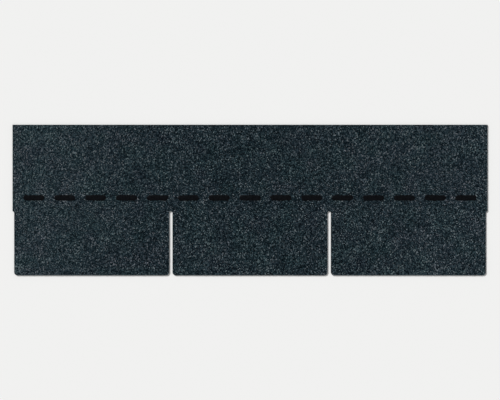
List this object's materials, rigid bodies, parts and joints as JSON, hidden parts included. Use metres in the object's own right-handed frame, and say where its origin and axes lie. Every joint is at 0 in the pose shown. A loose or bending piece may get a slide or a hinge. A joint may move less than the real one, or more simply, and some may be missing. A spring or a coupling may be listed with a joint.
{
  "type": "three-tab asphalt shingle",
  "caption": "Flat strip of granule-surfaced asphalt roofing, slit into tabs along its lower edge, with a dashed adhesive line across the face and a release tape on the back.",
  "frame": {"origin": "middle of the back face, where the strip rests", "axes": "+X along the strip, +Y up the roof slope from the tabs to the headlap, +Z out of the granule face"},
  "size_m": [1, 0.317, 0.0038],
  "materials": {
    "granulated_asphalt": "matte",
    "seal_asphalt": "satin",
    "release_film": "gloss"
  },
  "bodies": {
    "root": {"shingle_sheet": "granulated_asphalt", "seal_strip": "seal_asphalt", "release_tape": "release_film"}
  },
  "joints": []
}
